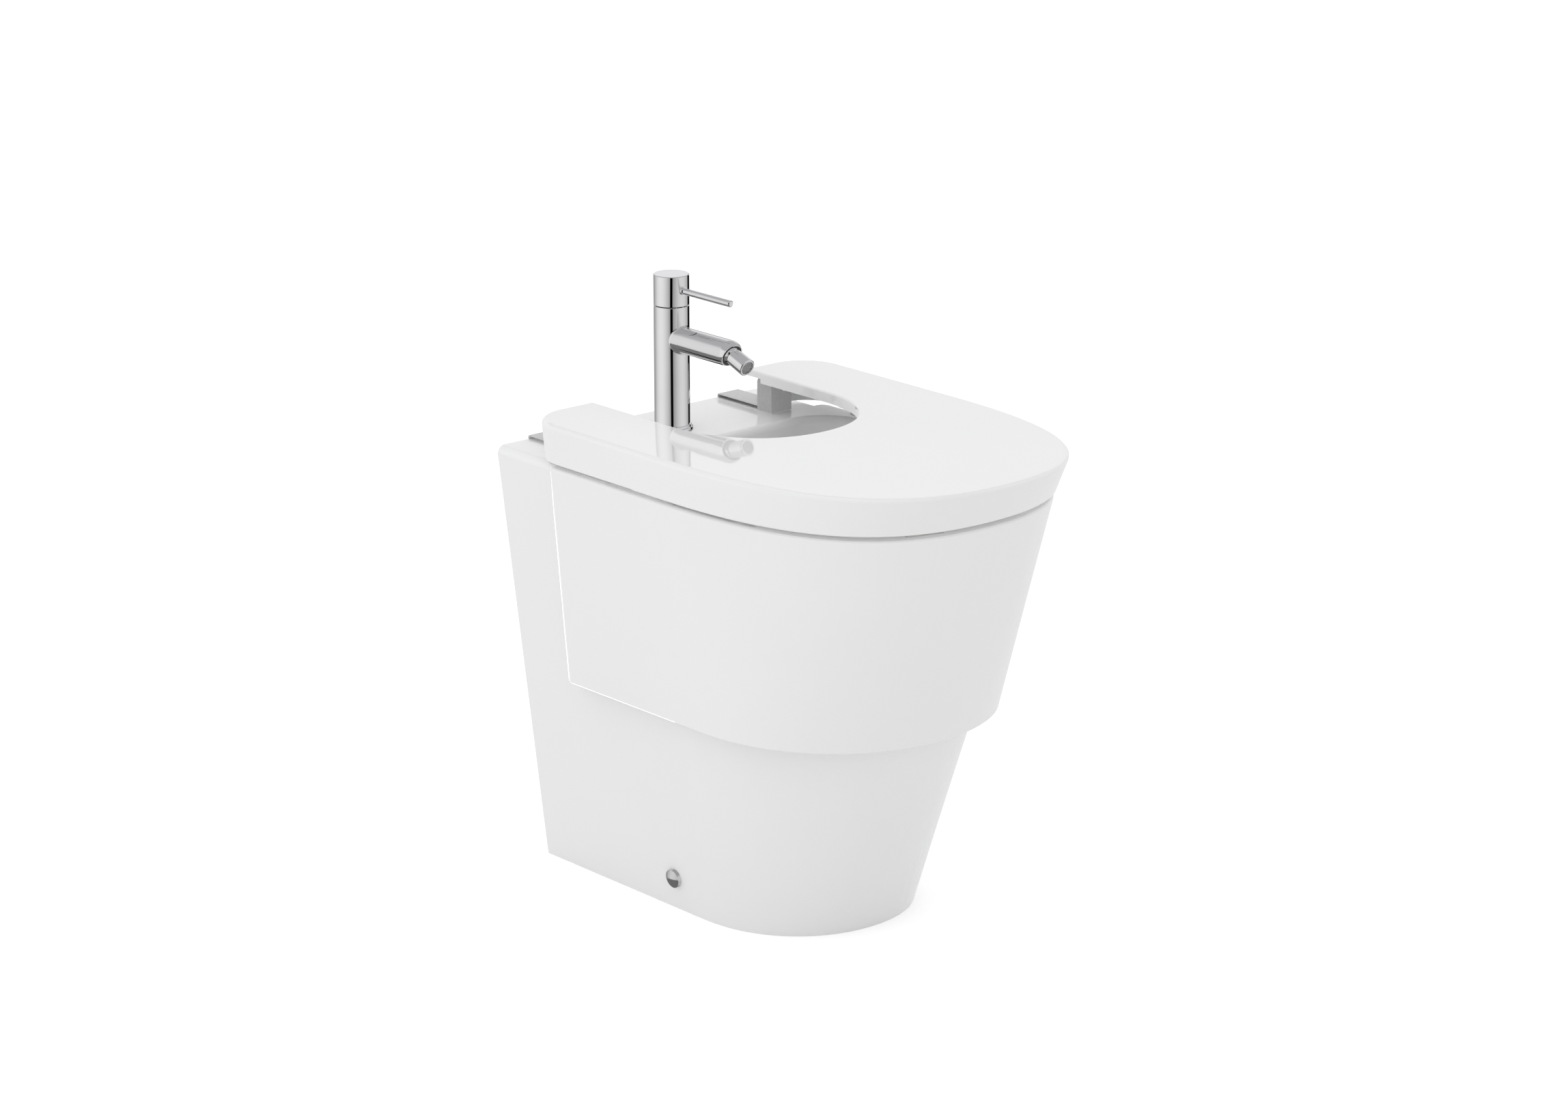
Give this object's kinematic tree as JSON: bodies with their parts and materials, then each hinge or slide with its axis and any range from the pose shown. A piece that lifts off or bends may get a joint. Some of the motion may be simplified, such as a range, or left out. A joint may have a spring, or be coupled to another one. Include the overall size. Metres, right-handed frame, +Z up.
{
  "type": "floor standing bidet",
  "caption": "Back-to-wall floor standing ceramic bidet with a slotted hinged cover, a single-lever mixer with a swivelling nozzle, and a pop-up waste.",
  "frame": {"origin": "centre of the bounding box on the floor", "axes": "+Z up, +Y towards the wall behind the bidet, +X to the right of someone who looks at the wall"},
  "size_m": [0.352, 0.5167, 0.571],
  "materials": {
    "glazed_ceramic": "gloss white glaze",
    "cover_plastic": "gloss white moulded thermoset",
    "soft_rubber": "soft translucent white",
    "black_rubber": "matt black",
    "steel_fasteners": "stainless, machined",
    "satin_metal": "satin chromed metal",
    "chrome": "polished chrome",
    "brass": "machined",
    "steel_mesh": "woven stainless mesh",
    "valve_plastic": "dark grey acetal",
    "bracket_plastic": "white reinforced nylon"
  },
  "bodies": {
    "body": {"ceramic_body": "glazed_ceramic", "hinge_bolts": "steel_fasteners", "hinge_rubbers": "black_rubber", "hinge_washers": "steel_fasteners", "hinge_nuts": "steel_fasteners", "hinge_block_left": "satin_metal", "hinge_block_right": "satin_metal", "hinge_base_left": "satin_metal", "hinge_base_right": "satin_metal", "hinge_damper_left": "valve_plastic", "hinge_damper_right": "valve_plastic", "mixer_body": "chrome", "mixer_spout": "chrome", "mixer_base_ring": "chrome", "mixer_gasket": "black_rubber", "mixer_stud": "brass", "mixer_clamp_rubber": "black_rubber", "mixer_clamp_plate": "steel_fasteners", "mixer_stud_nut": "brass", "cartridge": "valve_plastic", "cartridge_nut": "brass", "nozzle_ball_seal": "black_rubber", "waste_body": "chrome", "waste_seals": "black_rubber", "waste_nut": "brass", "tailpiece": "chrome", "tail_nut": "chrome", "side_screws": "steel_fasteners", "side_washers": "steel_fasteners", "side_caps": "satin_metal", "floor_bracket_left": "bracket_plastic", "floor_bracket_right": "bracket_plastic"},
    "cover": {"cover": "cover_plastic", "cover_bumpers": "soft_rubber", "cover_bracket_left": "bracket_plastic", "cover_bracket_right": "bracket_plastic", "bracket_screws": "steel_fasteners", "hinge_pin_left": "steel_fasteners", "hinge_pin_right": "steel_fasteners"},
    "carrier": {"cartridge_carrier": "valve_plastic"},
    "handle": {"handle_cap": "chrome", "handle_pin": "chrome", "handle_grub_screw": "steel_fasteners", "cartridge_stem": "steel_fasteners"},
    "seat_ring": {"nozzle_seat": "valve_plastic"},
    "nozzle": {"nozzle_ball": "chrome", "nozzle_sleeve": "chrome", "aerator": "valve_plastic", "aerator_mesh": "steel_mesh"},
    "plug": {"waste_plug": "chrome", "plug_seal": "black_rubber"}
  },
  "joints": [
    {"name": "cover_hinge", "type": "hinge", "parent": "body", "child": "cover", "pos_m": [0, 0.1885, 0.448], "axis": [-1, 0, 0], "range_deg": [0, 95]},
    {"name": "handle_turn", "type": "hinge", "parent": "body", "child": "carrier", "pos_m": [0, 0.1975, 0.525], "axis": [0, 0, 1], "range_deg": [-45, 45]},
    {"name": "handle_lift", "type": "hinge", "parent": "carrier", "child": "handle", "pos_m": [0, 0.1975, 0.525], "axis": [-1, 0, 0], "range_deg": [0, 18]},
    {"name": "nozzle_turn", "type": "hinge", "parent": "body", "child": "seat_ring", "pos_m": [0, 0.114, 0.5095], "axis": [0, -0.9063, -0.4226], "range_deg": [-90, 90]},
    {"name": "nozzle_tilt", "type": "hinge", "parent": "seat_ring", "child": "nozzle", "pos_m": [0, 0.114, 0.5095], "axis": [1, 0, 0], "range_deg": [-8, 16]},
    {"name": "plug_lift", "type": "slide", "parent": "body", "child": "plug", "axis": [0, 0, 1], "range_m": [0, 0.006]}
  ]
}
